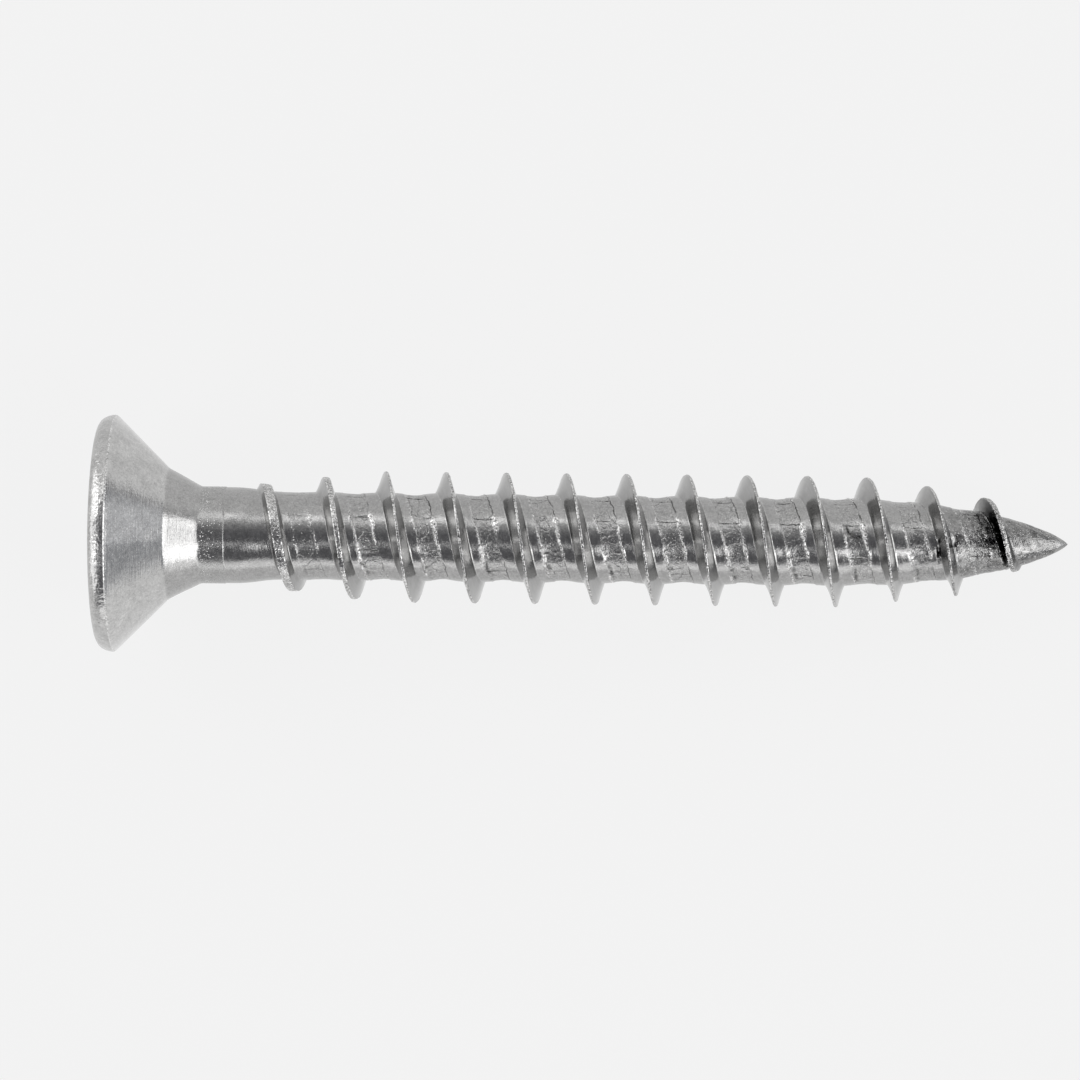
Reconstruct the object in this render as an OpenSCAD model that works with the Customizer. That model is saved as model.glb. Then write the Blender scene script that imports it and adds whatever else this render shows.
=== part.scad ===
// Chipboard screw, countersunk, with a cross recess and a coarse thread up to the point.
// One piece of stainless steel: the head is upset, the thread and the point are rolled.
// It lies on its side, on the rim of its head and one crest of the thread. Millimetres.
// Places along the screw are measured from the flat of the head, and called a.

/* [Length] */
// Length over all, from the flat of the head to the point
screw_length = 30; // [27:0.5:40]
// From the flat of the head to where the rolled part begins
shank_length = 3.95; // [3.7:0.05:4.2]

/* [Head] */
// Diameter of the head at its rim
head_d = 7.34; // [7:0.02:7.8]
// How far in from the rim the rounded edge of the head reaches
edge_round = 0.35; // [0.15:0.05:0.45]
// Height of the rim, down to the sharp edge where the countersink begins
rim_height = 0.52; // [0.46:0.02:0.6]
// Height of the straight land that the rounding leaves on the rim
rim_land = 0.04; // [0.02:0.01:0.1]
// Angle of the countersink, from side to side
countersink_angle = 90; // [86:1:92]
// Diameter where the countersink gives way to the slimmer throat
throat_d = 4.26; // [3.8:0.02:4.6]
// Angle of the throat, from side to side
throat_angle = 59; // [56:1:70]
// Diameter of the plain neck under the head
neck_d = 3; // [2.9:0.02:3.1]

/* [Drive recess] */
// Width of the cross from wing to wing, at the flat of the head
recess_span = 4.3; // [4:0.05:4.5]
// Thickness of each wing
wing_thickness = 0.94; // [0.8:0.02:1.1]
// Depth of a wing at its outer foot
wing_depth = 1.65; // [1.4:0.05:1.8]
// Depth of the recess at its middle
recess_depth = 2.35; // [2.1:0.05:2.6]
// Diameter of the round well in the middle of the cross
well_d = 2.3; // [2:0.05:2.5]
// Width from tip to tip of the fine grooves between the wings
groove_span = 2.8; // [2.6:0.05:3]
// Thickness of each groove
groove_thickness = 0.38; // [0.3:0.02:0.5]

/* [Thread] */
// Outside diameter of the thread
thread_d = 4.06; // [3.9:0.02:4.3]
// Diameter of the core between the turns
core_d = 2.726; // [2.6:0.002:2.8]
// Rise of the thread in one turn
pitch = 1.864; // [1.7:0.002:2.1]
// Slope of the flank that faces the head, from square to the axis
head_flank_angle = 20; // [16:1:24]
// Slope of the flank that faces the point, from square to the axis
point_flank_angle = 15; // [12:1:20]
// Width of the flat on the crest, where the thread is full
crest_flat = 0.07; // [0.05:0.01:0.14]
// Width of that flat where the thread starts
first_flat = 0.36; // [0.2:0.02:0.44]
// Radius, near enough, of the fillet at the root of each flank
root_fillet = 0.03; // [0.02:0.01:0.06]
// Depth of the hollow that the rolling leaves halfway between two turns
hollow_depth = 0.07; // [0:0.01:0.12]
// Place where the thread starts on the neck
thread_start = 4.3; // [4.2:0.05:4.6]
// Length over which the crest grows from the neck to the full thread
lead_in = 4.3; // [3:0.1:5]
// Place of the first crest on the underside
crest_place = 4.66; // [4.6:0.002:4.8]

/* [Point] */
// Length over which the core tapers to the point
point_length = 7.66; // [7:0.02:8.4]
// How late the taper sets in: higher keeps the core full for longer
point_fullness = 2.4; // [2.1:0.05:2.8]
// How blunt the end of the taper is: lower is blunter
point_bluntness = 0.76; // [0.7:0.01:0.9]
// Bare length of the point, ahead of the end of the thread
bare_point = 1.2; // [0.8:0.05:1.6]

/* [Hidden] */
$fn = 96;

// Radii
head_r = head_d / 2;
throat_r = throat_d / 2;
neck_r = neck_d / 2;
thread_r = thread_d / 2;
core_r = core_d / 2;
well_r = well_d / 2;

// Head: the places where its cones end, and how far its cuts overshoot the flat
countersink_end = rim_height + (head_r - throat_r) / tan(countersink_angle / 2);
throat_end = countersink_end + (throat_r - neck_r) / tan(throat_angle / 2);
cut_overshoot = 0.2;
edge_depth = rim_height - rim_land;
edge_steps = 8;

// Shank: the rolled part starts inside the neck, a hair slimmer, which leaves a fine line around it.
// Its core narrows from the neck over a short taper.
skin_overlap = 0.55;
skin_start = shank_length - skin_overlap;
rolled_r = neck_r - 0.012;
core_taper = 1.5;
core_taper_start = thread_start - 0.1;
lead_in_end = thread_start + lead_in;

// Two faint ridges edge the hollow between the turns: ridge, hollow, ridge, as shares of a turn
between_turns = [0.31, 0.48, 0.65];
hollow_point = 5;

// Share of the full height that the thread keeps, by the share of the point's length still ahead
full_share = 0.82;
thread_fade = [[bare_point / point_length, 0], [0.34, 0.75], [0.46, 0.80], [0.70, 0.80], [full_share, 1]];

// The skin of the rolled part: steps in one turn, and points across one turn's width
turn_steps = 48;
width_points = 4 + len(between_turns);

// Radius of the core: neck, short taper, core, then the rounded point
function share(t) = min(max(t, 0), 1);
function eased(t) = (1 + cos(180 * share(t))) / 2;
function ogive(t) = pow(1 - pow(t, point_fullness), point_bluntness);
function core_at(a) =
    (core_r + (rolled_r - core_r) * eased((a - core_taper_start) / core_taper))
    * ogive(share(1 - (screw_length - a) / point_length));

// Radius of the crest: it rises out of the neck, runs full, and sinks into the point
function height_share(a) = lookup((screw_length - a) / point_length, thread_fade);
function crest_at(a) =
    a < thread_start ? core_at(a) :
    a < lead_in_end ? neck_r + (thread_r - neck_r) * (a - thread_start) / lead_in :
    core_at(a) + (thread_r - core_r) * height_share(a);

// Half the width of the crest, and how far a flank's foot is from the middle of the crest
function grown(a) = share((a - thread_start) / lead_in);
function half_crest(a) = (first_flat + (crest_flat - first_flat) * grown(a)) / 2;
function foot_reach(a, slope) =
    half_crest(a) + root_fillet + max(crest_at(a) - core_at(a), 0) * tan(slope);

// One point of the skin: step i along the helix, point k across the width of the turn.
// Points 0 to 3 are the left root, the two edges of the crest and the right root.
function crest_middle(i) = crest_place + pitch * i / turn_steps;
function skin_place(i, k) =
    let (a = crest_middle(i))
    k == 0 ? a - foot_reach(a, head_flank_angle) :
    k == 1 ? a - half_crest(a) :
    k == 2 ? a + half_crest(a) :
    k == 3 ? a + foot_reach(a, point_flank_angle) :
    a + pitch * between_turns[k - 4];
function skin_radius(i, k) =
    let (a = skin_place(i, k), depth = min(grown(a), height_share(a)))
    k == 1 || k == 2 ? crest_at(crest_middle(i)) :
    k == hollow_point ? core_at(a) - hollow_depth * depth :
    k == 0 || k == 3 ? core_at(a) + root_fillet * depth :
    core_at(a);
function skin_point(i, k) =
    let (r = skin_radius(i, k), angle = 360 * i / turn_steps)
    [r * cos(angle), r * sin(angle), skin_place(i, k)];

// Rest: with its rim on the floor, the screw tips until the first crest below touches it
last_turn = floor((screw_length - bare_point - crest_place) / pitch);
rest_tilt = min([
    for (turn = [0 : last_turn])
        let (a = crest_place + pitch * turn)
        atan((head_r - crest_at(a)) / (a + half_crest(a) - rim_height))]);
axis_height = rim_height * sin(rest_tilt) + head_r * cos(rest_tilt);
head_reach = norm([edge_depth * cos(rest_tilt), edge_round * sin(rest_tilt)])
    - edge_depth * cos(rest_tilt) + (head_r - edge_round) * sin(rest_tilt);
mid_length = (screw_length * cos(rest_tilt) - head_reach) / 2;

// The rolled part as one skin, wound on the helix and closed on the axis at both ends
module rolled_part() {
    first = floor((skin_start - crest_place) / pitch - 1) * turn_steps;
    last = ceil((screw_length - crest_place) / pitch + 1) * turn_steps;
    inner_end = 0;
    point_end = 1;
    // Number of a skin point, or of the end of the axis that it is gathered into
    function number(i, k) =
        k == width_points ? number(i + turn_steps, 0) :
        i >= last || skin_place(i, k) >= screw_length ? point_end :
        skin_place(i, k) <= skin_start ? inner_end :
        2 + (i - first) * width_points + k;
    function whole(t) = t[0] != t[1] && t[1] != t[2] && t[2] != t[0];
    points = concat(
        [[0, 0, skin_start], [0, 0, screw_length]],
        [for (i = [first : last - 1], k = [0 : width_points - 1]) skin_point(i, k)]);
    triangles = [
        for (i = [first : last - 1], k = [0 : width_points - 1])
            let (a = number(i, k), b = number(i + 1, k))
            let (c = number(i + 1, k + 1), d = number(i, k + 1))
            for (t = [[a, c, b], [a, d, c]]) if (whole(t)) t];
    polyhedron(points, triangles);
}

// Head and neck, turned from one outline
module head_blank() {
    edge = [for (s = [0 : edge_steps])
        let (q = 90 * s / edge_steps)
        [head_r - edge_round * (1 - sin(q)), edge_depth * (1 - cos(q))]];
    rotate_extrude()
        polygon(concat([[0, 0]], edge, [
            [head_r, rim_height],
            [throat_r, countersink_end],
            [neck_r, throat_end],
            [neck_r, shank_length],
            [0, shank_length]]));
}

// Cross recess: four wings with sloping ends around a round well with a pointed floor,
// and four fine grooves between the wings
module drive_recess() {
    module blade(reach, foot, depth, thickness)
        rotate([90, 0, 0])
            linear_extrude(thickness, center = true)
                polygon([
                    [0, -cut_overshoot],
                    [reach, -cut_overshoot],
                    [reach, 0],
                    [foot, depth],
                    [0, recess_depth]]);
    for (turn = [0 : 90 : 270]) {
        rotate([0, 0, turn])
            blade(recess_span / 2, well_r, wing_depth, wing_thickness);
        rotate([0, 0, turn + 45])
            blade(groove_span / 2, well_r * 0.8, wing_depth * 0.85, groove_thickness);
    }
    rotate_extrude()
        polygon([
            [0, -cut_overshoot],
            [well_r, -cut_overshoot],
            [well_r, 0],
            [well_r * 0.62, wing_depth],
            [0, recess_depth]]);
}

// The whole screw, laid on its side with its point along +X
module screw() {
    color("silver")
        translate([-mid_length, 0, axis_height])
            rotate([0, 90 + rest_tilt, 0])
                union() {
                    difference() {
                        head_blank();
                        drive_recess();
                    }
                    rolled_part();
                }
}

screw();
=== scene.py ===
import math

import bpy
import numpy as np
from mathutils import Matrix, Vector


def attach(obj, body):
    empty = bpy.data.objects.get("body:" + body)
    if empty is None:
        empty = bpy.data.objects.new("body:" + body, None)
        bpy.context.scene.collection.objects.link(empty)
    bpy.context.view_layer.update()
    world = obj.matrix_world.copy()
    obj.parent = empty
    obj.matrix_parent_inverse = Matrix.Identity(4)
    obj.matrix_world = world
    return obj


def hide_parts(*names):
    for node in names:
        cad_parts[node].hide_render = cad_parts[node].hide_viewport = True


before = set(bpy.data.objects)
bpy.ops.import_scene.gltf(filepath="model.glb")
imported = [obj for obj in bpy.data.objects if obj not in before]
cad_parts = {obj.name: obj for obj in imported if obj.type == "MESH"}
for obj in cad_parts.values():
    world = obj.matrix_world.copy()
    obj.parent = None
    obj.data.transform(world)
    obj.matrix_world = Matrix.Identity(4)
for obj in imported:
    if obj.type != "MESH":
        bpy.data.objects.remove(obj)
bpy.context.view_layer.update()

# The wire, and how the screw lies
# The screw is made from a length of stainless wire, and is one piece. It rests on its side, on the
# rim of its head and one crest of its thread, with the point towards +X. Sizes are in millimetres.
MM = 0.001
screw_length = 30.0
rest_tilt = math.radians(4.12922)
axis_height = 3.69792
mid_length = 14.8412
head_shift, head_shift_end, head_shift_fade = 0.022, 3.17, 0.8
turn_steps = 120


def share(t):
    return np.clip(t, 0, 1)


def smooth(t):
    t = share(t)
    return t * t * (3 - 2 * t)


def hump(away, width):
    """1 where away is 0, fading to nothing on both sides over about twice the width."""
    return np.exp(-((away / width) ** 2))


def lay_down(place, radius, turn):
    """Points of the screw as it lies: place from the flat of the head, turn from below through +Y.
    The head was struck a hair off the middle of the wire."""
    drop = radius * np.cos(turn)
    x = place * math.cos(rest_tilt) - drop * math.sin(rest_tilt) - mid_length
    y = radius * np.sin(turn) + head_shift * smooth((head_shift_end - place) / head_shift_fade)
    z = axis_height - place * math.sin(rest_tilt) - drop * math.cos(rest_tilt)
    return np.stack([x, y, z], -1) * MM


def lumps(points, size, seed):
    """Smooth random heights from -1 to 1 at points in millimetres, with lumps of about one size."""
    at = points / size
    cell = np.floor(at).astype(np.int64)
    near = at - cell
    near = near * near * (3 - 2 * near)
    height = np.zeros(points.shape[:-1])
    for corner in np.ndindex(2, 2, 2):
        a, b, c = np.moveaxis(cell + corner, -1, 0)
        mixed = (a * 73856093) ^ (b * 19349663) ^ (c * 83492791) ^ (seed * 26544357)
        mixed = ((mixed ^ (mixed >> 13)) * 1274126177) & 0x7FFFFFFF
        mixed = ((mixed ^ (mixed >> 15)) * 668265263) & 0x7FFFFFFF
        drawn = ((mixed >> 7) & 0xFFFF) / 32767.5 - 1
        height += drawn * np.prod(np.where(corner, near, 1 - near), axis=-1)
    return height


# Drive recess
# The cross is pressed into the flat of the head by the second blow of the header: four wings that
# slope inwards around a round well, with a fine groove between each two. The drafts are the shares
# by which each gets smaller down to the feet of the wings.
recess_span, wing_thickness, wing_depth = 4.3, 0.94, 1.65
well_d, recess_depth = 2.3, 2.35
groove_span, groove_thickness = 2.8, 0.38
wing_corner = 0.07
wing_draft, well_draft, groove_draft, groove_side_draft = 0.06, 0.38, 0.42, 0.3


def recess_ring(depth, growth):
    """The recess at one depth, point by point around the cross, as radii and turns. growth sets
    its walls back, for the small rounding where they meet the flat."""
    sunk = depth / wing_depth
    wing = recess_span / 2 + (well_d / 2 - recess_span / 2) * sunk + growth
    half = wing_thickness / 2 * (1 - wing_draft * sunk) + growth
    well = well_d / 2 * (1 - well_draft * sunk) + growth
    groove = max(groove_span / 2 * (1 - groove_draft * sunk) + growth, well + 0.01)
    groove_half = groove_thickness / 2 * (1 - groove_side_draft * sunk) + growth
    tip = [(wing, half * s) for s in (0, 0.4, 0.75)]
    for q in (0.5, 1.1):
        tip.append((wing - wing_corner * (1 - math.cos(q)), half - wing_corner * (1 - math.sin(q))))
    meet = math.sqrt(max(well**2 - half**2, 0.0001))
    straight = wing - wing_corner
    wall = [(straight + (meet - wing + wing_corner) * s, half) for s in (0.12, 0.4, 0.7, 1)]
    start = math.atan2(half, meet)
    stop = math.pi / 4 - math.asin(groove_half / well)
    arc_turns = [start + (stop - start) * s for s in (0.35, 0.7, 1)]
    arc = [(well * math.cos(q), well * math.sin(q)) for q in arc_turns]
    spread = math.atan2(groove_half, groove)
    end_turns = [math.pi / 4 - spread, math.pi / 4 - spread / 2]
    end = [(groove * math.cos(q), groove * math.sin(q)) for q in end_turns]
    side = [tuple((arc[-1][n] + end[0][n]) / 2 for n in (0, 1))]
    eighth = np.array(tip + wall + arc + side + end)
    turns = np.arctan2(eighth[:, 1], eighth[:, 0])
    radii = np.hypot(eighth[:, 0], eighth[:, 1])
    turns = np.concatenate([turns, [math.pi / 4], math.pi / 2 - turns[:0:-1]])
    radii = np.concatenate([radii, [groove], radii[:0:-1]])
    all_turns = [turns + math.pi / 2 * quarter for quarter in range(4)]
    return np.tile(radii, 4), np.concatenate(all_turns)


# Head
# The head is upset cold against a die: a flat with a rounded edge, a short rim, a countersink at a
# right angle and a steeper throat, which meets the plain neck. Its edge is lumpy, its cone smooth.
head_r, edge_round, edge_depth, rim_height = 3.67, 0.35, 0.48, 0.52
countersink_end, throat_r = 2.16, 2.03
throat_end, neck_r = 3.1732, 1.5
neck_end = 3.95
even_turn = np.arange(turn_steps) * 2 * math.pi / turn_steps
rings, ring_marks = [], []


def add_ring(place, radius, turn, edge=0.0, wear_and_highlight=0.0):
    """The next ring outwards from the bottom of the recess, how lumpy it is, and how much its steel
    is brightened as wear and painted highlight.
    """
    rings.append(np.stack(np.broadcast_arrays(place, radius, turn), -1).astype(float))
    ring_marks.append((edge, wear_and_highlight))


radius, turn = recess_ring(wing_depth, 0)
for out in (0.12, 0.35, 0.62, 0.85):
    add_ring(recess_depth + (wing_depth - recess_depth) * out, radius * out, turn)
for depth in (1.65, 1.62, 1.45, 1.2, 0.95, 0.7, 0.45, 0.22, 0.06):
    add_ring(depth, *recess_ring(depth, 0))
for depth, growth in ((0.02, 0.012), (0, 0.04)):
    radius, turn = recess_ring(depth, growth)
    add_ring(depth, radius, turn)
flat_r = head_r - edge_round
for out in (0.04, 0.15, 0.3, 0.45, 0.6, 0.75, 0.9, 1):
    ring_turn = turn + (even_turn - turn) * smooth(out)
    add_ring(0, radius + (flat_r - radius) * out, ring_turn, share(out * 4 - 3))
first_outer = len(rings)
for q in np.radians(np.linspace(6, 90, 15)):
    add_ring(edge_depth * (1 - math.cos(q)), flat_r + edge_round * math.sin(q), even_turn, 1)
# The two rings at the corner of rim and countersink are brightened: partly a burnished edge, partly
# a painted highlight.
for place, inset, edge in ((0.496, 0, 1), (0.512, 0.006, 0), (0.528, 0.018, 0)):
    add_ring(place, head_r - inset, even_turn, edge, 1 - edge)
for t in (0.03, *np.linspace(0.06, 0.96, 23), 0.985):
    place = rim_height + (countersink_end - rim_height) * t
    add_ring(place, head_r + (throat_r - head_r) * t, even_turn)
add_ring(countersink_end + 0.02, throat_r - 0.006, even_turn)
for t in (0.07, *np.linspace(0.12, 0.95, 12)):
    place = countersink_end + (throat_end - countersink_end) * t
    add_ring(place, throat_r + (neck_r - throat_r) * t, even_turn)
add_ring(throat_end, neck_r + 0.006, even_turn)
for place in np.linspace(throat_end + 0.04, neck_end - 0.03, 10):
    add_ring(place, neck_r, even_turn)
for ring, (edge, wear_and_highlight) in zip(rings[first_outer:], ring_marks[first_outer:]):
    place, radius, turn = ring.T
    at = np.stack([place, radius * np.cos(turn), radius * np.sin(turn)], -1)
    edge_lumps = 0.008 * lumps(at, 0.4, 40) + 0.005 * lumps(at, 0.2, 41)
    ring[:, 1] += edge * edge_lumps * share(ring[:, 0] / 0.05)
    ring[:, 1] += (1 - edge) * (0.0012 * lumps(at, 0.4, 42) + 0.0035 * lumps(at, 1.3, 43))

# Rolled thread and point
# Flat dies roll the thread and the point out of the wire, and leave its flanks hard and smooth.
# Between the turns the old skin of the wire stays, torn and lapped along a ridge and a seam.
thread_r, core_r, pitch = 2.03, 1.363, 1.864
crest_place, thread_start, lead_in = 4.66, 4.3, 4.3
crest_flat, first_flat = 0.07, 0.36
head_flank, point_flank = math.radians(20), math.radians(15)
root_fillet, hollow_depth = 0.04, 0.056
rolled_r, core_taper_start, core_taper = 1.488, 4.2, 1.5
point_length, point_fullness, point_bluntness, bare_point = 7.66, 2.4, 0.76, 1.2
last_turn_start, last_turn_end, last_turn_growth = 27.05, 28.75, 0.08


def core_at(place):
    narrow = (1 + np.cos(math.pi * share((place - core_taper_start) / core_taper))) / 2
    late = share(1 - (screw_length - place) / point_length)
    return (core_r + (rolled_r - core_r) * narrow) * (1 - late**point_fullness) ** point_bluntness


def height_share(place):
    fade = [bare_point / point_length, 0.34, 0.46, 0.70, 0.82]
    return np.interp((screw_length - place) / point_length, fade, [0, 0.75, 0.80, 0.80, 1])


def crest_at(place):
    rising = neck_r + (thread_r - neck_r) * (place - thread_start) / lead_in
    full = core_at(place) + (thread_r - core_r) * height_share(place)
    grown = np.where(place < thread_start + lead_in, rising, full)
    return np.where(place < thread_start, core_at(place), grown)


def rise_at(place):
    return np.maximum(crest_at(place) - core_at(place), 0)


def on_last_turn(place):
    """1 along the last turn, which the dies left thick and folded over a groove that is painted
    dark as shade.
    """
    return smooth((place - last_turn_start) / 0.25) * smooth((last_turn_end - place) / 0.2)


def half_crest(place):
    flat = first_flat + (crest_flat - first_flat) * share((place - thread_start) / lead_in)
    return (flat + last_turn_growth * on_last_turn(place)) / 2


def foot_reach(place, slope):
    return half_crest(place) + root_fillet + rise_at(place) * math.tan(slope)


# The rows of the skin stand closer where the wire has its cracks, which run along it. The random
# lumps of the skin are read on a cylinder of radius spot_r.
crack_turns = np.radians([112, 151, 197, 229])
wire_twist = math.radians(0.35)
spot_r = 1.4
fine_turn = np.linspace(0, 2 * math.pi, 3601)
crowd = 1 + sum(2.2 * hump(fine_turn - c, math.radians(3)) for c in crack_turns)
crowd = np.concatenate([[0], np.cumsum((crowd[1:] + crowd[:-1]) / 2)])
row_turn = np.interp(np.arange(turn_steps) / turn_steps, crowd / crowd[-1], fine_turn)
for t in (0, 0.5, 1):
    add_ring(neck_end - 0.02 + 0.02 * t, neck_r - (neck_r - rolled_r) * smooth(t),
             even_turn + (row_turn - even_turn) * (0.3 + 0.7 * t))

# One row crosses the thread from the left foot of a turn to the left foot of the next: left flank,
# crest, right flank, rolled strip, torn band, rolled strip.
first_row = int((neck_end - crest_place) // pitch - 1) * turn_steps
last_row = int((screw_length - crest_place) // pitch + 2) * turn_steps
row = np.arange(first_row, last_row + turn_steps + 1)
turn = row_turn[row % turn_steps] + 2 * math.pi * (row // turn_steps)
turn = turn + wire_twist * np.maximum(crest_place + pitch * turn / (2 * math.pi) - neck_end, 0)
middle = crest_place + pitch * turn / (2 * math.pi)
rows = last_row - first_row
drift = 0.0095 * np.clip(turn / (2 * math.pi), 0, 12)
row_spot = np.stack([middle, spot_r * np.cos(turn), spot_r * np.sin(turn)], -1)
right_ridge = pitch * (0.257 + drift) + 0.022 * lumps(row_spot, 0.5, 11)
left_seam = pitch * (0.602 + drift) + 0.028 * lumps(row_spot, 0.5, 12)
left_foot = middle - foot_reach(middle, head_flank)
edges = [left_foot - middle, -half_crest(middle), half_crest(middle),
         foot_reach(middle, point_flank), right_ridge, left_seam,
         np.roll(left_foot, -turn_steps) - middle]
edges = np.stack(edges)[:, :rows]
middle, turn = middle[:rows, None], turn[:rows, None]
right_ridge, left_seam = right_ridge[:rows, None], left_seam[:rows, None]
LEFT_FLANK, CREST, RIGHT_FLANK, RIGHT_STRIP = range(4)
steps = (7, 4, 7, 5, 14, 11)
part = np.repeat(np.arange(len(steps)), steps)
within = np.concatenate([np.arange(n) / n for n in steps])
within[part == LEFT_FLANK] = (0, 0.06, 0.25, 0.45, 0.65, 0.85, 0.97)
within[part == RIGHT_FLANK] = (0, 0.03, 0.15, 0.35, 0.55, 0.75, 0.94)
within = np.where(part >= RIGHT_STRIP, (within + (1 - np.cos(math.pi * within)) / 2) / 2, within)
offset = (edges[part] + (edges[part + 1] - edges[part]) * within[:, None]).T
skin_place = middle + offset
skin_turn = turn + wire_twist * offset
skin_spot = np.stack([skin_place, spot_r * np.cos(skin_turn), spot_r * np.sin(skin_turn)], -1)
in_gap = part >= RIGHT_STRIP
rise = rise_at(middle)
grown = share((skin_place - thread_start - 0.6) / lead_in)
depth = np.minimum(grown, height_share(skin_place + 0.4))
wire_degrees = np.degrees(skin_turn - wire_twist * np.maximum(skin_place - neck_end, 0))
wire_turn = wire_degrees % 360


def around_wire(degrees, values):
    """A value that changes around the wire in the same way from turn to turn."""
    return np.interp(wire_turn, degrees, values)


def from_spot(place, degrees, half_wide, half_long):
    """How far the points of the skin are from a spot, across and around it, in its half sizes."""
    across = (skin_place - place) / half_wide
    around = (np.degrees(skin_turn) % 360 - degrees) * math.pi / 180 * skin_radius / half_long
    return across, around


# Flanks are a little hollow, and steep over the groove of the last turn, which is painted dark as
# shade.
nearest = np.where(in_gap, middle + pitch, middle)
left_of_crest = np.where(in_gap, pitch - offset, -offset) - half_crest(nearest)
last = on_last_turn(nearest) * (part != CREST) * (left_of_crest > 0)
left_power = 1.5 + 3.5 * on_last_turn(middle)
up = np.where(part == LEFT_FLANK, within**left_power, 0)
up = np.where(part == RIGHT_FLANK, (1 - within) ** 1.4, up)
up = np.where(part == CREST, 1.0, up)
groove_width = 0.15 + 0.05 * lumps(skin_spot, 0.22, 13)
groove = last * smooth((groove_width - left_of_crest) / 0.06)
groove_depth = 0.06 * np.sin(math.pi * share(left_of_crest / groove_width)) ** 2
groove_depth = groove_depth * share(rise_at(nearest) / 0.2)
fold = hump(left_of_crest - groove_width - 0.03, 0.022) * last
crest_end = (part == RIGHT_FLANK) & (within == 0)
rounding = np.where(part == CREST, (2 * within - 1) ** 4, 0) + crest_end
along_gap = share((offset - edges[3][:, None]) / (edges[6] - edges[3])[:, None])
hollow = np.where(in_gap, np.sin(math.pi * along_gap) ** 2, 0) * hollow_depth
skin_radius = core_at(skin_place) + rise * up - 0.010 * rounding * (rise > 0.02) - hollow * depth
skin_radius = skin_radius - groove_depth * last + 0.02 * fold

# The torn band lies a little lower than the strips, between its ridge and its seam. Both are
# broken, and both change around the wire in the same way from turn to turn.
ridge_mm, seam_mm = offset - right_ridge, offset - left_seam
band = smooth(ridge_mm / 0.05) * smooth(-seam_mm / 0.05) * depth
ridge_here = around_wire([0, 70, 100, 140, 152, 190, 198, 210, 232, 250, 360],
                         [0.8, 0.8, 0.25, 0.25, 1, 1, 1.4, 1.4, 1, 0.5, 0.8])
seam_here = around_wire([0, 88, 102, 110, 143, 150, 162, 172, 182, 192, 205, 235, 250, 300, 360],
                        [0.7, 1.5, 1.5, 0.2, 0.2, 1, 1, 0.5, 1, 1, 0.4, 0.2, 1, 0.7, 0.7])
# Where the seam splits it is dented, and the steel paints the split dark as shade; both are set
# turn by turn around the wire.
seam_split = around_wire([0, 20, 80, 96, 140, 150, 200, 225, 250, 270, 330, 360],
                         [0, 1, 1, 0.9, 0.9, 0, 0, 0.8, 0.8, 0, 0, 0])
broken = smooth(lumps(skin_spot, 0.5, 1) * 1.4 + 0.65)
ridge_wide = around_wire([0, 176, 186, 208, 216, 360],
                         [0.03, 0.03, 0.046, 0.046, 0.03, 0.03])
ridge = hump(ridge_mm, ridge_wide) * broken * ridge_here * depth * in_gap
broken = smooth(lumps(skin_spot, 0.4, 2) * 1.4 + 0.65)
seam_wide = around_wire([0, 140, 148, 168, 178, 360],
                        [0.035, 0.035, 0.062, 0.062, 0.035, 0.035])
seam = hump(seam_mm, seam_wide) * broken * seam_here * depth * in_gap
torn = -0.012 + 0.009 * lumps(skin_spot, 0.16, 3) + 0.006 * lumps(skin_spot, 0.08, 4)
uneven = 0.003 * lumps(skin_spot, 0.3, 6) + 0.001 * lumps(skin_spot, 0.12, 16)
skin_radius = skin_radius + 0.02 * (ridge + seam) + band * torn + uneven * in_gap
seam_split = seam_split * smooth(lumps(skin_spot, 0.25, 9) * 2 + 1.2) * depth * in_gap
split = hump(seam_mm, 0.02) * seam_split
crack = np.zeros_like(split)
for line, centre in enumerate(np.degrees(crack_turns)):
    away = (wire_turn - 1.5 * lumps(skin_spot, 0.25, 20 + line) - centre + 180) % 360 - 180
    open_here = smooth(lumps(skin_spot, 0.9, 30 + line) * 1.5 + 0.6)
    split = np.maximum(split, hump(away, 1.1) * open_here * band)

# Below each bright stretch the ridge is torn, and shows a short gap, which is painted dark as
# shade.
torn_here = around_wire([208, 216, 236, 244], [0, 1, 1, 0]) * depth
gap_middle = 0.1 + 0.05 * lumps(skin_spot, 0.3, 17)
gap = hump(ridge_mm - gap_middle, 0.045) * torn_here
crack = np.maximum(crack, 0.9 * gap * smooth(lumps(skin_spot, 0.12, 18) * 2 + 0.7))

# A few deeper marks: a torn pit with a bright chip beside it, a scrape, a raised flake and a curled
# lap.
# The pit, the scrape and the curl are painted dark as shade in their hollows, and the flake is
# painted dark too. A mark is its place, turn in degrees, half length, half width and depth.
torn_pit = (26.43, 178, 0.19, 0.04, 0.10)
scrape = (25.90, 190, 0.32, 0.05, 0.03)
flake = (22.95, 97, 0.03, 0.16, -0.04)
for mark in (torn_pit, scrape, flake):
    place, degrees, half_long, half_wide, deep = mark
    across, around = from_spot(place, degrees, half_wide, half_long)
    near = np.abs(skin_place - place) < 0.5
    pit = np.exp(-(across**2) - around**2) * near
    skin_radius = skin_radius - deep * pit
    crack = np.maximum(crack, share((2.4 + 3.5 * lumps(skin_spot, 0.1, 14)) * pit - 0.3))
    if mark is torn_pit:
        chip = np.exp(-((across - 2.1) ** 2) - (1.4 * around) ** 2) * near
        skin_radius = skin_radius + 0.03 * chip
curl_place, curl_degrees, curl_wide, curl_long = 23.38, 158, 0.33, 0.36
across, around = from_spot(curl_place, curl_degrees, curl_wide, curl_long)
curl = hump(np.hypot(across, around) - 1, 0.13) * smooth(around * 2 + 0.5) * band
crack = np.maximum(crack, curl * (np.abs(skin_place - curl_place) < 0.6))
skin_radius = skin_radius - 0.02 * np.maximum(split, crack)

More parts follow.
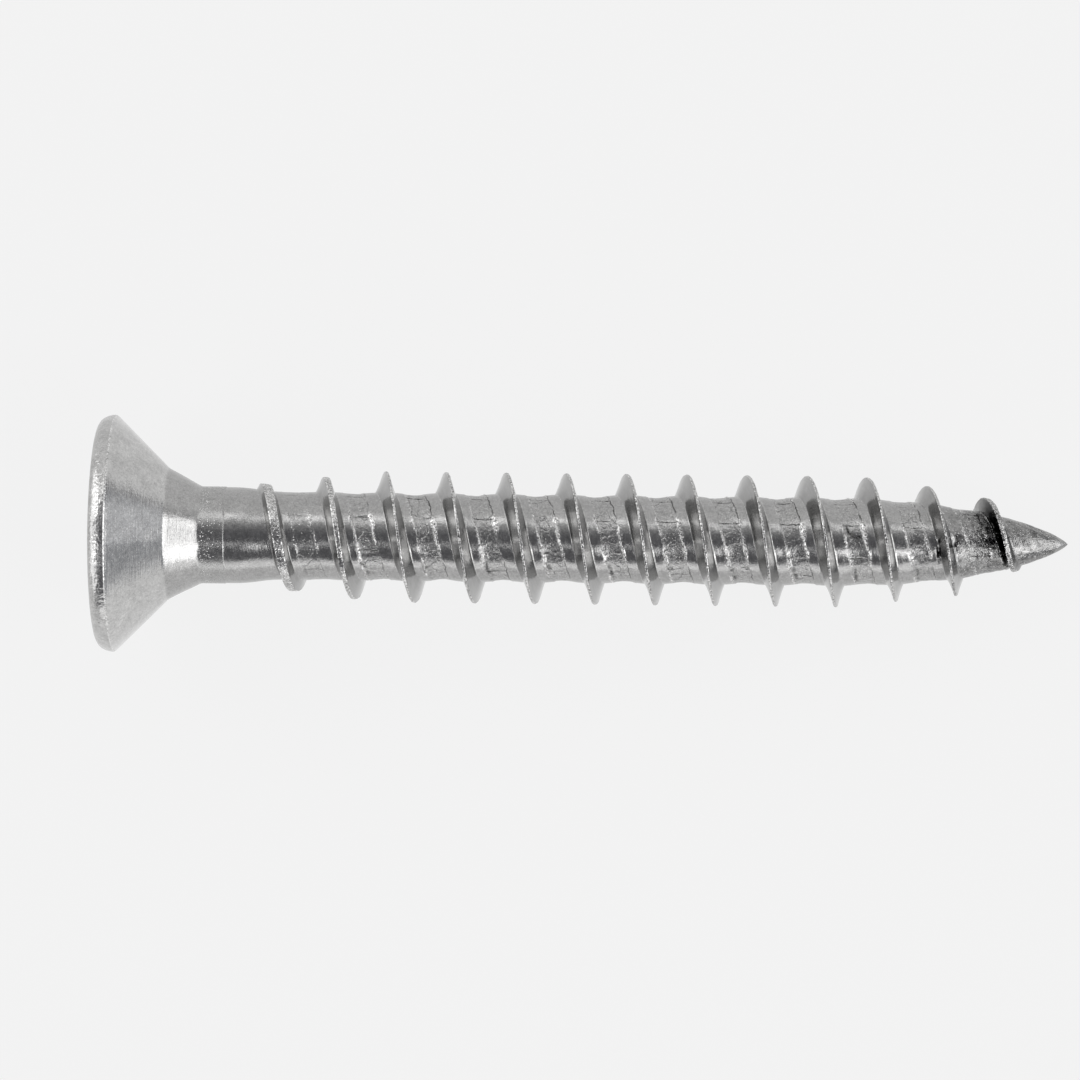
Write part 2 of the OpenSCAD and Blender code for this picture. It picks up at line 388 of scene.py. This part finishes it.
# Crests are burred, and the point is coarse.
dice = np.random.default_rng(7)
burred = ((part == CREST) | crest_end) * (rise > 0.02)
burr = dice.uniform(-1, 1, skin_place.shape) * burred
skin_radius = skin_radius + 0.005 * burr + 0.006 * lumps(skin_spot, 0.12, 5) * burred
skin_place = skin_place + 0.006 * dice.uniform(-1, 1, skin_place.shape) * burred
coarse_from, coarse_to = 24.8, 29.85
coarse_point = smooth((skin_place - coarse_from) / 2.4) * smooth((coarse_to - skin_place) / 0.4)
pitted = 0.006 * lumps(skin_spot, 0.2, 7) + 0.006 * lumps(skin_spot, 0.09, 8)
skin_radius = skin_radius + pitted * coarse_point * (part != CREST)
# The worn share brightens the steel: wear on the burred crests, painted highlights along the
# ridges, the feet of the flanks and the crest edges, and along the seam on the turns where it faces
# the light. The fold and the chip are brightened too.
crest_edge = ((part == CREST) | (part == RIGHT_FLANK)) & (within == 0)
left_foot_line = (part == LEFT_FLANK) & (within == 0)
right_foot_line = (part == RIGHT_STRIP) & (within == 0)
foot_line = 0.3 * left_foot_line + 0.2 * right_foot_line
seam_facing_light = around_wire([0, 80, 100, 142, 152, 194, 210, 250, 300],
                        [1, 1, 0.2, 0.15, 1, 1, 0.2, 0.2, 1])
wear_and_highlight = 1.6 * ridge + 2.6 * seam * seam_facing_light + foot_line * depth
wear_and_highlight = wear_and_highlight + 0.3 * crest_edge * smooth((rise - 0.05) / 0.1)
wear_and_highlight = np.minimum(wear_and_highlight + 0.45 * burred + 0.5 * fold + 1.2 * chip, 1)
flank = ((part == LEFT_FLANK) | (part == RIGHT_FLANK)) & (within > 0.05) & (rise > 0.03)
# Around the last turn the steel is painted dark as shade: in its groove, on its right flank, and in
# a halo that is strongest on the upper side of the wire.
shade_by_turn = around_wire([60, 125, 168, 190, 250], [0.1, 0.75, 0.8, 0.3, 0.1])
shade_halo = shade_by_turn * last * smooth((0.85 - left_of_crest) / 0.5)
shade_halo = shade_halo * (0.9 + 0.25 * lumps(skin_spot, 0.3, 15))
groove_shade = groove * around_wire([50, 105, 205, 250], [0.15, 1, 1, 0.15])
flank_shade = 0.45 * on_last_turn(middle) * (part == RIGHT_FLANK) * (within > 0.1)
last_turn_shade = np.maximum(np.maximum(groove_shade, shade_halo), flank_shade)

# Everything is one closed skin: the first rows gather into the last ring, the last into the tip.
# The grain is laid out flat: the thread unwound, and the head unrolled well away from it.
gather_slack = 0.004
unrolled_r, unrolled_away = 2.0, 20
head = np.concatenate([[[recess_depth, 0, 0]], *rings])
tip = len(head)
width_points = len(part)
skin = np.stack([skin_place, skin_radius, skin_turn], -1).reshape(-1, 3)
number = tip + 1 + np.arange(rows * width_points).reshape(rows, width_points)
gathered = tip - turn_steps + (np.arange(rows) + first_row) % turn_steps
number = np.where(skin_place <= neck_end + gather_slack, gathered[:, None], number)
number = np.where(skin_place >= screw_length - gather_slack, tip, number)
number = np.concatenate([number, np.roll(number, -turn_steps, 0)[:, :1]], 1)[: rows - turn_steps]
unwound = np.concatenate([offset, edges[6][:, None]], 1)[: rows - turn_steps]
wound = np.broadcast_to(turn[: rows - turn_steps] * core_r, unwound.shape)
unwound = np.stack([wound, unwound], -1)


def patches(grid):
    """The four corners of each patch of a grid."""
    return np.stack([grid[:-1, :-1], grid[:-1, 1:], grid[1:, 1:], grid[1:, :-1]], 2)


ring_number = 1 + np.arange(len(rings) * turn_steps).reshape(-1, turn_steps)
ring_number = np.concatenate([np.zeros((1, turn_steps), int), ring_number])
ring_number = np.concatenate([ring_number, ring_number[:, :1]], 1)
ring_profile = np.array([[recess_depth, 0]] + [[ring[0, 0], ring[:, 1].mean()] for ring in rings])
path = np.concatenate([[0], np.cumsum(np.hypot(*np.diff(ring_profile, axis=0).T))])
around = np.arange(turn_steps + 1) * 2 * math.pi / turn_steps
unrolled = np.stack(np.broadcast_arrays(around * unrolled_r, path[:, None] - unrolled_away), -1)
head_quads, skin_quads = patches(ring_number), patches(number)[:, :, ::-1]
head_maps, skin_maps = patches(unrolled), patches(unwound)[:, :, ::-1]
quads = np.concatenate([head_quads.reshape(-1, 4), skin_quads.reshape(-1, 4)])
quad_maps = np.concatenate([head_maps.reshape(-1, 4, 2), skin_maps.reshape(-1, 4, 2)])
everything = np.concatenate([head, [[screw_length, 0, 0]], skin])
faces, maps = [], []
for quad, quad_map in zip(quads.tolist(), quad_maps):
    kept = [n for n in range(4) if quad[n] != quad[n - 1]]
    if len(kept) > 2 and len(set(quad)) == len(kept):
        faces.append([quad[n] for n in kept])
        maps.append(quad_map[kept])
used = np.zeros(len(everything), bool)
used[np.concatenate(faces)] = True
renumber = np.cumsum(used) - 1
mesh = bpy.data.meshes.new("steel_screw")
mesh.from_pydata(lay_down(*everything.T)[used], [], [renumber[loop].tolist() for loop in faces])
mesh.shade_smooth()
mesh.set_sharp_from_angle(angle=math.radians(55))
grain = mesh.uv_layers.new(name="grain")
grain.uv.foreach_set("vector", np.concatenate(maps).astype(np.float32).ravel())


def keep_marks(name, head_values, skin_values):
    """Three shares for each point of the skin, as one attribute that the steel reads."""
    values = np.zeros((len(everything), 3))
    for axis in range(3):
        values[:tip, axis] = head_values[axis]
        values[tip + 1:, axis] = np.broadcast_to(skin_values[axis], skin_place.shape).ravel()
    attribute = mesh.attributes.new(name, "FLOAT_VECTOR", "POINT")
    attribute.data.foreach_set("vector", values[used].ravel())


marks_at = np.repeat([(0, 0), *ring_marks], [1] + [turn_steps] * len(rings), axis=0)
head_edge, head_wear_and_highlight = marks_at.T
on_throat = smooth((head[:, 0] - countersink_end) / 0.03)
on_head = smooth((throat_end - head[:, 0]) / 0.03 + 1) * (1 - 0.85 * on_throat)
on_neck = smooth((head[:, 0] - throat_end) / 0.03) * smooth((neck_end - head[:, 0]) / 0.04)
speckled = on_neck * (1 - 0.7 * smooth((head[:, 0] - throat_end - 0.1) / 0.5))
keep_marks("marks", (0, 0, 0.5 * head_wear_and_highlight), (band, crack, wear_and_highlight))
keep_marks("finish", (0, speckled, 0), (flank, 0, last_turn_shade))
# On the skin the zone's first share is the seam where it faces the light, which the steel paints
# paler as a highlight.
seam_glint = 0.9 * share(seam * seam_facing_light)
coarse_skin = coarse_point * (1 - 0.75 * flank)
keep_marks("zone", (on_head, head_edge, 0), (seam_glint, seam_split, coarse_skin))
keep_marks("along", (9, 0, 0), (seam_mm, wire_degrees, 0))


def put(name, data):
    """A new object in the scene."""
    made = bpy.data.objects.new(name, data)
    bpy.context.scene.collection.objects.link(made)
    return made


screw = put("steel_screw", mesh)


class Shade:
    """One output of a material's nodes. Sums on it add Math nodes; other nodes come from node()."""

    def __init__(self, tree, socket=None):
        self.tree, self.socket = tree, socket

    def node(self, kind, settings=(), sockets=(), output=0):
        made = self.tree.nodes.new("ShaderNode" + kind)
        for name, value in dict(settings).items():
            setattr(made, name, value)
        for name, value in dict(sockets).items():
            if isinstance(value, Shade):
                self.tree.links.new(value.socket, made.inputs[name])
            else:
                made.inputs[name].default_value = value
        return Shade(self.tree, made.outputs[output]) if made.outputs else None

    def sum(self, operation, *values):
        return self.node("Math", {"operation": operation}, dict(enumerate(values)))

    def __add__(self, other):
        return self.sum("ADD", self, other)

    def __sub__(self, other):
        return self.sum("SUBTRACT", self, other)

    def __rsub__(self, other):
        return self.sum("SUBTRACT", other, self)

    def __mul__(self, other):
        return self.sum("MULTIPLY", self, other)

    __radd__, __rmul__ = __add__, __mul__

    def abs(self):
        return self.sum("ABSOLUTE", self)

    def mix(self, first, second):
        """A colour between two, by this share."""
        return self.node("Mix", {"data_type": "RGBA"}, {0: self, 6: first, 7: second}, output=2)

    def split(self):
        """The three parts of a vector."""
        parts = self.node("SeparateXYZ", (), {"Vector": self}).socket.node
        return [Shade(self.tree, part) for part in parts.outputs]

    def between(self, low, high):
        """0 below low and 1 above high."""
        return self.node("MapRange", {"interpolation_type": "SMOOTHSTEP"},
                         {"Value": self, "From Min": low, "From Max": high})


def fresh_nodes(owner):
    """Empties the nodes of a material or of the world, ready to paint."""
    owner.use_nodes = True
    owner.node_tree.nodes.clear()
    return Shade(owner.node_tree)


# The steel is bright and finely grained where the die struck the head, dark and speckled on the
# neck, smooth on the flanks, rough on the torn band, and white where it is burred, partly as wear
# and partly as a painted highlight. Its colour also holds painted shade on the flanks, in the
# cracks, laps and splits and around the last turn, and painted highlights on the ridges, the seam,
# the feet of the flanks, the crest edges and the corner of the rim.
steel = bpy.data.materials.new("drawn_stainless")
paint = fresh_nodes(steel)
spot_at = paint.node("TexCoord", output="Object")


def spots(scale, detail=2.0, vector=spot_at):
    """Soft spots of about one size: scale is their number in a metre."""
    return paint.node("TexNoise", (),
                      {"Vector": vector, "Scale": scale, "Detail": detail, "Roughness": 0.6})


def tone(grey):
    return (grey, grey, grey, 1)


def kept(name):
    return paint.node("Attribute", {"attribute_name": name}, output="Vector").split()


torn_skin, crack_shade, bare_and_highlit = kept("marks")
smooth_shaded_flank, speckles, painted_shade = kept("finish")
struck_head_and_seam_glint, edge_or_seam, point_end = kept("zone")
lumpy_edge = edge_or_seam * struck_head_and_seam_glint
struck_cone = struck_head_and_seam_glint - 0.8 * lumpy_edge
split_seam = edge_or_seam * (1 - struck_head_and_seam_glint)
from_seam, wire_degrees, _ = kept("along")
pits, sand, cloud, dots = spots(24000), spots(9500), spots(2200), spots(15000, 1.0)
grain_at = paint.node("UVMap", {"uv_map": "grain"})
drawn_at = paint.node("VectorMath", {"operation": "MULTIPLY"}, {0: grain_at, 1: (0.9, 30.0, 1.0)})
lines = spots(1.0, 2.0, drawn_at)
shifted = paint.node("TexNoise", (), {"Vector": spot_at, "Scale": 5000.0, "Detail": 1.0},
                     output="Color")
shifted = paint.node("VectorMath", {"operation": "MULTIPLY_ADD"},
                     {0: shifted, 1: (0.00016,) * 3, 2: spot_at})
jagged = spots(5200, 3.0) - 0.5
seam_line = 1 - (from_seam + 0.14 * jagged).abs().between(0.004, 0.02)
splits = seam_line * split_seam
for line, degrees in enumerate(np.degrees(crack_turns).tolist()):
    away = paint.sum("PINGPONG", wire_degrees + 5.5 * jagged - degrees, 180.0)
    shown = spots(900 + 90 * line).between(0.38 + 0.04 * line, 0.46 + 0.04 * line)
    splits = paint.sum("MAXIMUM", splits, (1 - away.between(0.15, 0.8)) * shown * torn_skin)
plates = paint.node("TexVoronoi", {"feature": "DISTANCE_TO_EDGE"},
                    {"Vector": shifted, "Scale": 2600.0}, output="Distance")
laps = (1 - plates.between(0.0, 0.05)) * torn_skin * cloud.between(0.5, 0.56)
grit = paint.node("TexVoronoi", (), {"Vector": spot_at, "Scale": 24000.0}, output="Distance")
grit_pick = Shade(steel.node_tree, grit.socket.node.outputs["Color"]).split()[0]
picked = 0.4 * speckles + 0.2 * torn_skin + bare_and_highlit + 0.25 * point_end * (1 - painted_shade)
picked = (picked - grit_pick).between(0.0, 0.1)
specks = (1 - grit.between(0.0, 0.46)) * picked
coarse = 0.6 + 0.4 * (torn_skin + struck_head_and_seam_glint) - 0.5 * smooth_shaded_flank + 0.45 * point_end
rough_skin = 0.5 * torn_skin + bare_and_highlit + 0.3 * point_end
height = (coarse - 0.6 * struck_cone) * (0.5 * pits + 0.8 * sand)
height = height + rough_skin * (0.4 * pits + 0.6 * sand)
height = height + 2.6 * lumpy_edge * spots(6500, 1.0) + 0.5 * lines
height = height - 1.2 * laps - 2.2 * splits + 1.8 * specks
neck_skin = speckles.between(0.0, 0.2)
# The flanks are painted a little darker as shade.
# The struck head is paler; so is the seam where it faces the light, as a painted highlight.
grey = 0.37 + 0.15 * struck_head_and_seam_glint - 0.04 * smooth_shaded_flank - 0.01 * neck_skin
grey = grey - 0.13 * point_end - 0.05 * lumpy_edge
grey = grey + coarse * (0.42 * (pits - 0.5) + 0.30 * (sand - 0.5)) + 0.4 * point_end * jagged
grey = grey + (0.12 + 0.12 * struck_head_and_seam_glint) * (cloud - 0.5) + 0.08 * (lines - 0.5)
# Cracks, laps and splits are painted dark as shade, and so is the last turn.
grey = grey - 0.32 * crack_shade - 0.13 * laps - 0.3 * splits - 0.30 * painted_shade
# Where worn, the steel is paler, as wear and as painted highlight.
grey = grey + bare_and_highlit * (0.13 + 1.2 * (pits - 0.5) + 2.1 * (dots - 0.48))
grey = grey + (0.3 + 0.9 * bare_and_highlit + 0.7 * speckles + 0.8 * point_end) * specks
colour = grey.mix(tone(0), (1.0, 0.995, 0.985, 1))
rough = 0.20 + 0.2 * (sand - 0.5) + 0.04 * torn_skin + 0.06 * neck_skin
rough = rough + 0.1 * bare_and_highlit - 0.07 * smooth_shaded_flank - 0.085 * struck_cone
bump = paint.node("Bump", (), {"Strength": 0.6, "Distance": 0.000014, "Height": height})
shader = paint.node("BsdfPrincipled", (),
                    {"Base Color": colour, "Metallic": 1.0, "Roughness": rough, "Normal": bump})
paint.node("OutputMaterial", (), {"Surface": shader})
mesh.materials.append(steel)
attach(screw, "root")
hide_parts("screw")

# Floor
# A sheet of pale card under the screw, lit evenly, so that it shows only a faint shadow. The steel
# mirrors it a little paler in front of the screw than behind.
floor_half, card_grey, shown_pale, front_pale = 0.6, 0.8, 0.898, 1.0
seen_glow, mirrored_glow = 0.94, 0.72
floor_mesh = bpy.data.meshes.new("card_floor")
corners = [(x * floor_half, y * floor_half, 0) for x, y in ((-1, -1), (1, -1), (1, 1), (-1, 1))]
floor_mesh.from_pydata(corners, [], [(0, 1, 2, 3)])
floor = put("card_floor", floor_mesh)
card = bpy.data.materials.new("pale_card")
paint = fresh_nodes(card)
matt = paint.node("BsdfDiffuse", (), {"Color": tone(card_grey)})
seen = paint.node("LightPath", output="Is Camera Ray")
mirrored = Shade(card.node_tree, seen.socket.node.outputs["Is Glossy Ray"])
_, backward, _ = paint.node("TexCoord", output="Object").split()
in_front = mirrored * backward.between(0.004, -0.004)
pale = in_front.mix(tone(shown_pale), tone(front_pale))
plain = paint.node("Emission", (), {"Color": pale, "Strength": 1.0})
glowing = seen * seen_glow + mirrored * mirrored_glow
mixed = paint.node("MixShader", (), {0: glowing, 1: matt, 2: plain})
paint.node("OutputMaterial", (), {"Surface": mixed})
floor_mesh.materials.append(card)

# Light
# Softboxes around the table, as for a small product: a low one in front, one off each end, and
# small ones behind and overhead, whose reflections run along the screw as narrow bands.


def softbox(name, centre, size, brightness):
    """centre and size in millimetres; brightness is that of its face, where 1 is white."""
    lamp = bpy.data.lights.new(name, "AREA")
    lamp.shape = "RECTANGLE"
    lamp.size, lamp.size_y = size[0] * MM, size[1] * MM
    lamp.energy = brightness * math.pi * lamp.size * lamp.size_y
    holder = put(name, lamp)
    centre = Vector(centre) * MM
    holder.location = centre
    holder.rotation_mode = "QUATERNION"
    back = centre.normalized()
    side = Vector((0, 0, 1)).cross(back)
    side = side.normalized() if side.length > 0.01 else Vector((1, 0, 0))
    holder.rotation_quaternion = Matrix((side, back.cross(side), back)).transposed().to_quaternion()
    holder.visible_camera = False


softbox("back_softbox", (100, 180, 200), (90, 60), 1.3)
softbox("back_strip", (-45, 200, 200), (110, 75), 1.3)
softbox("overhead_strip", (119, -138, 272), (100, 66), 2.6)
softbox("side_lamp", (168, -126, 200), (44, 60), 4.5)
softbox("short_strip", (-32, -106, 272), (56, 32), 1.8)
softbox("front_softbox", (120, -290, 80), (720, 130), 1.1)
softbox("point_end_softbox", (260, -46, 140), (410, 180), 2.35)
softbox("head_end_softbox", (-250, 0, 115), (520, 150), 1.45)
softbox("head_top_panel", (-190, 0, 230), (400, 130), 0.6)
softbox("head_back_lamp", (-190, 130, 190), (80, 110), 2.6)
softbox("head_strip", (-190, -66, 190), (24, 120), 3.6)

# Grey card
# It lies just beyond the point, out of the picture, and shows only as the dark patch that the
# countersink mirrors. Its folds are of different tones, and the edge along its back is darker.
near_x, far_x, far_z = 24, 150, 47
card_parts = (("grey_card", (-34, -4), (-140, -16), (0.43, 0.44, 0.46, 1)),
              ("pale_fold", (-4, 13), (-16, 54), (0.71, 0.72, 0.74, 1)),
              ("grey_fold", (13, 18), (54, 75), (0.47, 0.48, 0.50, 1)),
              ("dark_edge", (18, 23), (75, 98), (0.25, 0.25, 0.26, 1)))
for name, near_y, far_y, card_tone in card_parts:
    card_mesh = bpy.data.meshes.new(name)
    near_corners = [(near_x, near_y[0], 0), (near_x, near_y[1], 0)]
    corners = near_corners + [(far_x, far_y[1], far_z), (far_x, far_y[0], far_z)]
    card_mesh.from_pydata([Vector(corner) * MM for corner in corners], [], [(0, 1, 2, 3)])
    grey_card = put(name, card_mesh)
    slate = bpy.data.materials.new(name)
    paint = fresh_nodes(slate)
    glow = paint.node("Emission", (), {"Color": card_tone, "Strength": 1.0})
    paint.node("OutputMaterial", (), {"Surface": glow})
    card_mesh.materials.append(slate)
    grey_card.visible_camera = grey_card.visible_diffuse = grey_card.visible_shadow = False

# Room
# Pale walls under a dim ceiling. The camera sees a pale backdrop past the floor.
world = bpy.data.worlds.new("studio")
bpy.context.scene.world = world
paint = fresh_nodes(world)
_, backward, upward = paint.node("TexCoord", output="Generated").split()
walls = backward.between(-0.3, 0.3).mix(tone(0.55), tone(0.88))
ceiling = backward.between(0.05, 0.95).mix((0.17, 0.17, 0.18, 1), tone(0.88))
indoors = upward.between(0.10, 0.45).mix(walls, ceiling)
seen = paint.node("LightPath", output="Is Camera Ray")
room = seen.mix(indoors, tone(shown_pale))
backdrop = paint.node("Background", (), {"Color": room})
paint.node("OutputWorld", (), {"Surface": backdrop})

# Camera
# A long lens looks down on the screw, square to its axis.
picture_width, pixels_per_mm, roll, distance = 1080, 32.27, math.radians(0.635), 121.0
centre_place, centre_drop = 13.65, 1.45 / pixels_per_mm
along = Vector((math.cos(rest_tilt), 0, -math.sin(rest_tilt)))
up_line = Vector((math.sin(rest_tilt), 0, math.cos(rest_tilt)))
level = Vector((0, 1, 0))
right = along * math.cos(roll) + level * math.sin(roll)
top = level * math.cos(roll) - along * math.sin(roll)
lens = bpy.data.cameras.new("camera")
lens.sensor_width = 36
lens.lens = pixels_per_mm * distance / picture_width * lens.sensor_width
lens.clip_start = 0.01
camera = put("camera", lens)
looked_at = Vector((-mid_length, 0, axis_height)) + along * centre_place - top * centre_drop
camera.location = (looked_at + up_line * distance) * MM
camera.rotation_mode = "QUATERNION"
camera.rotation_quaternion = Matrix((right, top, up_line)).transposed().to_quaternion()
bpy.context.scene.camera = camera
bpy.context.scene.view_settings.view_transform = "Standard"
